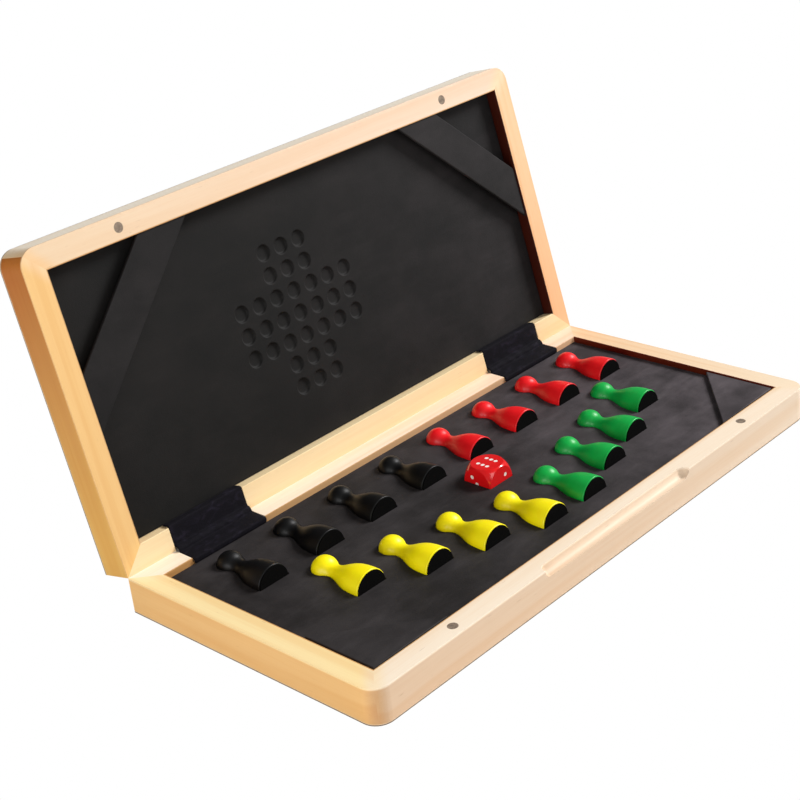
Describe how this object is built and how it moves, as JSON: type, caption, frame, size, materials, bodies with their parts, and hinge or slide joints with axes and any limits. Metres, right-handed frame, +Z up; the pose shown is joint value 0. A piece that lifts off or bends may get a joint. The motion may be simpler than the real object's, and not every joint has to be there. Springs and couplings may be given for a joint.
{
  "type": "folding ludo board box",
  "caption": "Flat wooden board game case hinged along its back, standing open, with a foam tray of pocketed pawns and a die and a foam-lined lid",
  "frame": {"origin": "centre of the lower half's flat bottom face, where the box rests", "axes": "+X along the fold line, -Y toward the opening side, +Z up"},
  "size_m": [0.307, 0.1959, 0.1592],
  "materials": {
    "rail_wood": "satin",
    "plywood": "matt",
    "board_print": "matt",
    "foam": "matt",
    "hinge_metal": "satin",
    "magnet_metal": "satin",
    "hinge_cloth": "matt",
    "felt": "matt",
    "die_red": "gloss",
    "pip_white": "gloss",
    "lacquer_yellow": "gloss lacquer",
    "lacquer_green": "gloss lacquer",
    "lacquer_red": "gloss lacquer",
    "lacquer_black": "gloss lacquer"
  },
  "bodies": {
    "base": {"base_front_rail": "rail_wood", "base_hinge_rail": "rail_wood", "base_left_rail": "rail_wood", "base_right_rail": "rail_wood", "base_panel": "plywood", "base_sheet": "board_print", "base_magnets": "magnet_metal", "base_hinge_leaves": "hinge_metal", "base_hinge_screws": "hinge_metal", "base_hinge_covers": "hinge_cloth", "base_foam_tray": "foam", "base_corner_pads": "foam", "hinge_pins": "hinge_metal"},
    "lid": {"lid_front_rail": "rail_wood", "lid_hinge_rail": "rail_wood", "lid_left_rail": "rail_wood", "lid_right_rail": "rail_wood", "lid_panel": "plywood", "lid_sheet": "board_print", "lid_magnets": "magnet_metal", "lid_hinge_leaves": "hinge_metal", "lid_hinge_screws": "hinge_metal", "lid_hinge_covers": "hinge_cloth", "lid_foam_board": "foam", "lid_corner_bands": "foam"},
    "pawn_black_1": {"pawn_black_1": "lacquer_black", "felt_black_1": "felt"},
    "pawn_black_2": {"pawn_black_2": "lacquer_black", "felt_black_2": "felt"},
    "pawn_black_3": {"pawn_black_3": "lacquer_black", "felt_black_3": "felt"},
    "pawn_black_4": {"pawn_black_4": "lacquer_black", "felt_black_4": "felt"},
    "pawn_red_1": {"pawn_red_1": "lacquer_red", "felt_red_1": "felt"},
    "pawn_red_2": {"pawn_red_2": "lacquer_red", "felt_red_2": "felt"},
    "pawn_red_3": {"pawn_red_3": "lacquer_red", "felt_red_3": "felt"},
    "pawn_red_4": {"pawn_red_4": "lacquer_red", "felt_red_4": "felt"},
    "pawn_yellow_1": {"pawn_yellow_1": "lacquer_yellow", "felt_yellow_1": "felt"},
    "pawn_yellow_2": {"pawn_yellow_2": "lacquer_yellow", "felt_yellow_2": "felt"},
    "pawn_yellow_3": {"pawn_yellow_3": "lacquer_yellow", "felt_yellow_3": "felt"},
    "pawn_yellow_4": {"pawn_yellow_4": "lacquer_yellow", "felt_yellow_4": "felt"},
    "pawn_green_1": {"pawn_green_1": "lacquer_green", "felt_green_1": "felt"},
    "pawn_green_2": {"pawn_green_2": "lacquer_green", "felt_green_2": "felt"},
    "pawn_green_3": {"pawn_green_3": "lacquer_green", "felt_green_3": "felt"},
    "pawn_green_4": {"pawn_green_4": "lacquer_green", "felt_green_4": "felt"},
    "die": {"die": "die_red", "die_pips": "pip_white"}
  },
  "joints": [
    {"name": "lid_fold", "type": "hinge", "parent": "base", "child": "lid", "pos_m": [0, 0.07302, 0.01702], "axis": [-1, 0, 0], "range_deg": [-103.2, 76.8]},
    {"name": "pawn_black_1_lift", "type": "slide", "parent": "base", "child": "pawn_black_1", "axis": [0, 0, 1], "range_m": [0, 0.03]},
    {"name": "pawn_black_2_lift", "type": "slide", "parent": "base", "child": "pawn_black_2", "axis": [0, 0, 1], "range_m": [0, 0.03]},
    {"name": "pawn_black_3_lift", "type": "slide", "parent": "base", "child": "pawn_black_3", "axis": [0, 0, 1], "range_m": [0, 0.03]},
    {"name": "pawn_black_4_lift", "type": "slide", "parent": "base", "child": "pawn_black_4", "axis": [0, 0, 1], "range_m": [0, 0.03]},
    {"name": "pawn_red_1_lift", "type": "slide", "parent": "base", "child": "pawn_red_1", "axis": [0, 0, 1], "range_m": [0, 0.03]},
    {"name": "pawn_red_2_lift", "type": "slide", "parent": "base", "child": "pawn_red_2", "axis": [0, 0, 1], "range_m": [0, 0.03]},
    {"name": "pawn_red_3_lift", "type": "slide", "parent": "base", "child": "pawn_red_3", "axis": [0, 0, 1], "range_m": [0, 0.03]},
    {"name": "pawn_red_4_lift", "type": "slide", "parent": "base", "child": "pawn_red_4", "axis": [0, 0, 1], "range_m": [0, 0.03]},
    {"name": "pawn_yellow_1_lift", "type": "slide", "parent": "base", "child": "pawn_yellow_1", "axis": [0, 0, 1], "range_m": [0, 0.03]},
    {"name": "pawn_yellow_2_lift", "type": "slide", "parent": "base", "child": "pawn_yellow_2", "axis": [0, 0, 1], "range_m": [0, 0.03]},
    {"name": "pawn_yellow_3_lift", "type": "slide", "parent": "base", "child": "pawn_yellow_3", "axis": [0, 0, 1], "range_m": [0, 0.03]},
    {"name": "pawn_yellow_4_lift", "type": "slide", "parent": "base", "child": "pawn_yellow_4", "axis": [0, 0, 1], "range_m": [0, 0.03]},
    {"name": "pawn_green_1_lift", "type": "slide", "parent": "base", "child": "pawn_green_1", "axis": [0, 0, 1], "range_m": [0, 0.03]},
    {"name": "pawn_green_2_lift", "type": "slide", "parent": "base", "child": "pawn_green_2", "axis": [0, 0, 1], "range_m": [0, 0.03]},
    {"name": "pawn_green_3_lift", "type": "slide", "parent": "base", "child": "pawn_green_3", "axis": [0, 0, 1], "range_m": [0, 0.03]},
    {"name": "pawn_green_4_lift", "type": "slide", "parent": "base", "child": "pawn_green_4", "axis": [0, 0, 1], "range_m": [0, 0.03]},
    {"name": "die_lift", "type": "slide", "parent": "base", "child": "die", "axis": [0, 0, 1], "range_m": [0, 0.03]}
  ]
}
